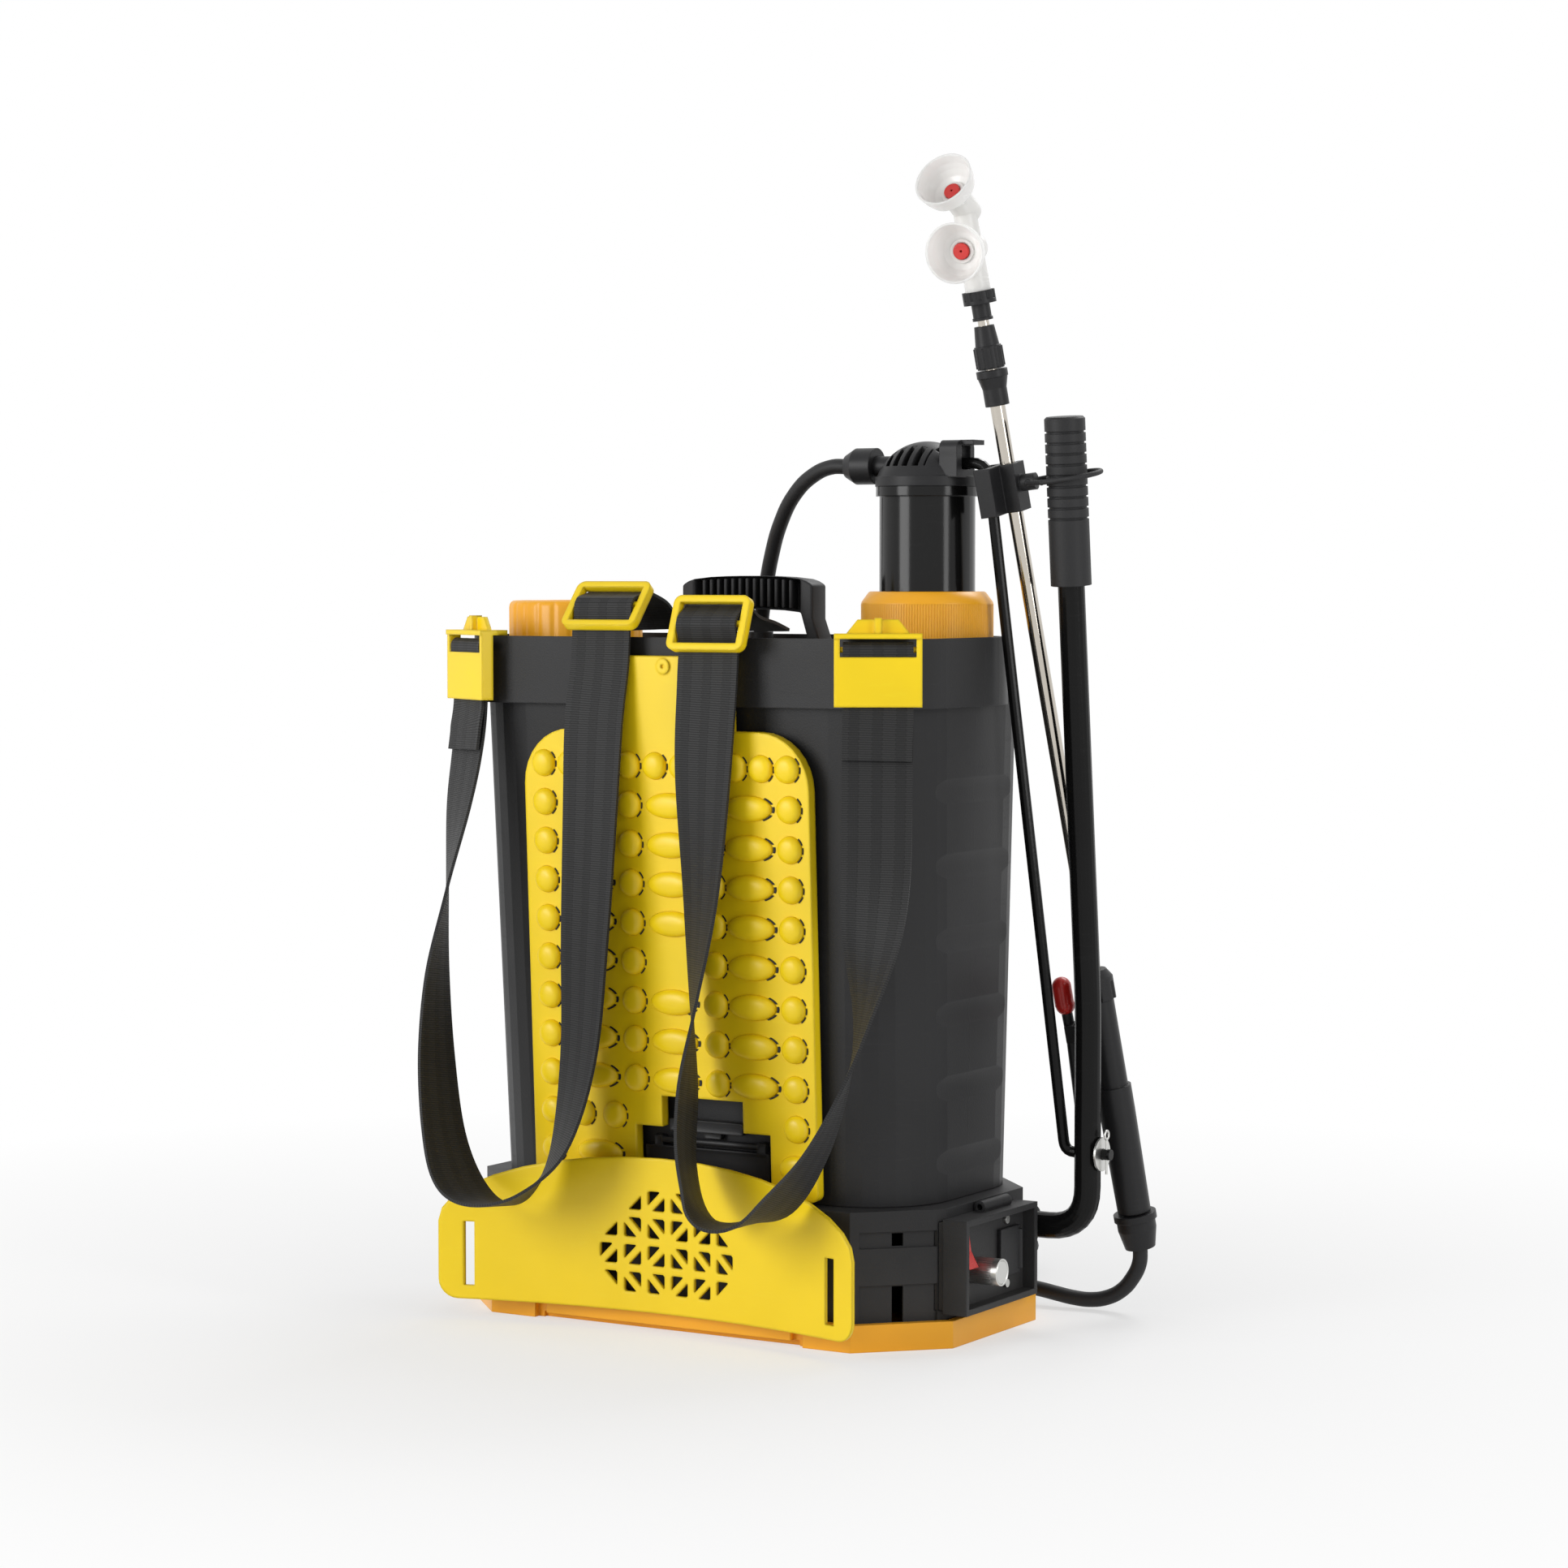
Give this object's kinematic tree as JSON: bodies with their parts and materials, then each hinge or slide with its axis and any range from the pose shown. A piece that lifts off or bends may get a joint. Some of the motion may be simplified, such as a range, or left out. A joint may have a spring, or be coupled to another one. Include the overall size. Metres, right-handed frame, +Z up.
{
  "type": "backpack sprayer",
  "caption": "Knapsack sprayer with hand lever pump, battery pump, telescopic lance with twin nozzle, shoulder straps, back pad and lumbar panel.",
  "frame": {"origin": "on the ground under the middle of the tank", "axes": "+Z up; -Y towards the wearer's back; +X towards the pump lever"},
  "size_m": [0.4738, 0.4873, 0.823],
  "materials": {
    "black_plastic": "matte moulded",
    "gloss_plastic": "gloss moulded",
    "yellow_plastic": "satin moulded",
    "orange_plastic": "satin moulded",
    "white_plastic": "translucent moulded",
    "red_plastic": "satin moulded",
    "black_rubber": "matte",
    "webbing": "woven",
    "painted_steel": "gloss paint",
    "bright_steel": "bright",
    "cell_pack": "shrink sleeve"
  },
  "bodies": {
    "tank": {"base_tray": "orange_plastic", "lower_housing": "black_plastic", "tank_shell": "black_plastic", "battery_pack": "cell_pack", "electric_pump": "bright_steel", "back_pad": "yellow_plastic", "lumbar_panel": "yellow_plastic", "battery_cover": "black_plastic", "carry_handle": "black_plastic", "case_screws": "bright_steel", "anchor_bar": "bright_steel", "strap_clips": "yellow_plastic", "strap_left": "webbing", "strap_right": "webbing", "strap_buckles": "yellow_plastic", "control_box": "black_plastic", "charge_socket": "black_plastic", "strainer_basket": "white_plastic", "pump_barrel": "white_plastic", "inlet_valve": "black_rubber", "chamber_hose": "black_rubber", "deck_fitting": "black_plastic", "lever_bushes": "black_plastic", "spray_hose": "black_rubber", "hose_coil": "black_rubber", "hose_feed": "black_rubber", "hose_tie": "webbing", "hose_outlet": "black_plastic"},
    "lid_ring": {"lid_seal": "black_rubber"},
    "lid": {"filler_lid": "orange_plastic"},
    "collar": {"pump_collar": "orange_plastic"},
    "chamber": {"air_chamber": "gloss_plastic", "chamber_cap": "gloss_plastic", "piston_seal": "black_rubber", "chamber_hose_nut": "black_plastic"},
    "lever": {"lever_tube": "painted_steel", "lever_grip": "black_rubber"},
    "link": {"link_rod": "painted_steel", "link_washer": "bright_steel", "link_cotter": "bright_steel"},
    "lance": {"lance_clip": "gloss_plastic", "lance_tube": "bright_steel", "lance_handle": "black_plastic", "handle_nut": "black_plastic", "trigger_pin": "bright_steel", "hose_nut": "black_plastic", "lock_nut": "black_plastic"},
    "bail": {"grip_bail": "black_rubber"},
    "trigger_lever": {"trigger": "black_plastic", "trigger_tip": "red_plastic"},
    "lance_inner": {"inner_tube": "bright_steel", "nozzle_socket": "black_plastic", "nozzle_stem": "black_plastic"},
    "nozzle": {"nozzle_nut": "black_plastic", "nozzle_body": "white_plastic", "nozzle_tips": "red_plastic"},
    "switch": {"switch_rocker": "red_plastic"},
    "knob": {"speed_knob": "bright_steel"},
    "flap": {"socket_flap": "black_rubber"}
  },
  "joints": [
    {"name": "lid_lift", "type": "slide", "parent": "tank", "child": "lid_ring", "axis": [0, 0, 1], "range_m": [0, 0.12]},
    {"name": "lid_turn", "type": "hinge", "parent": "lid_ring", "child": "lid", "pos_m": [-0.135, -0.025, 0.49], "axis": [0, 0, 1], "range_deg": [0, 360]},
    {"name": "collar_turn", "type": "hinge", "parent": "tank", "child": "collar", "pos_m": [0.138, 0.015, 0.5], "axis": [0, 0, 1], "range_deg": [0, 360]},
    {"name": "lever_swing", "type": "hinge", "parent": "tank", "child": "lever", "pos_m": [0.245, 0.058, 0.07], "axis": [1, 0, 0], "range_deg": [0, 60], "deforming": ["grip_bail"]},
    {"name": "link_swing", "type": "hinge", "parent": "lever", "child": "link", "pos_m": [0.245, 0.058, 0.124], "axis": [1, 0, 0], "range_deg": [-66, 0]},
    {"name": "chamber_stroke", "type": "slide", "parent": "tank", "child": "chamber", "axis": [0, 0, -1], "range_m": [0, 0.025], "deforming": ["chamber_hose"]},
    {"name": "lance_lift", "type": "slide", "parent": "tank", "child": "lance", "axis": [-0.0977, -0.1788, 0.979], "range_m": [0, 0.04], "deforming": ["spray_hose", "grip_bail"]},
    {"name": "bail_swing", "type": "hinge", "parent": "lance", "child": "bail", "pos_m": [0.21859, 0.01844, 0.59876], "axis": [0.1389, -0.9766, -0.1645], "range_deg": [0, 70], "deforming": ["grip_bail"]},
    {"name": "trigger_squeeze", "type": "hinge", "parent": "lance", "child": "trigger_lever", "pos_m": [0.22568, 0.08763, 0.2066], "axis": [0.0178, -0.9839, -0.1779], "range_deg": [0, 8], "stiffness_Nm_per_rad": 3, "springref_deg": -2.86},
    {"name": "lance_extend", "type": "slide", "parent": "lance", "child": "lance_inner", "axis": [-0.0977, -0.1788, 0.979], "range_m": [0, 0.25]},
    {"name": "nozzle_turn", "type": "hinge", "parent": "lance_inner", "child": "nozzle", "pos_m": [0.19071, -0.00732, 0.72815], "axis": [-0.0977, -0.1788, 0.979], "continuous": true},
    {"name": "switch_rock", "type": "hinge", "parent": "tank", "child": "switch", "pos_m": [0.203, -0.0515, 0.066], "axis": [0, -1, 0], "range_deg": [-16, 0]},
    {"name": "knob_turn", "type": "hinge", "parent": "tank", "child": "knob", "pos_m": [0.203, -0.035, 0.051], "axis": [1, 0, 0], "range_deg": [0, 270]},
    {"name": "flap_open", "type": "hinge", "parent": "tank", "child": "flap", "pos_m": [0.2058, 0.029, 0.057], "axis": [0, 0, 1], "range_deg": [0, 90]}
  ],
  "couplings": [
    {"joint": "link_swing", "follows": "lever_swing", "ratio": -1.0912},
    {"joint": "chamber_stroke", "follows": "lever_swing", "m_per_rad": 0.023354}
  ]
}
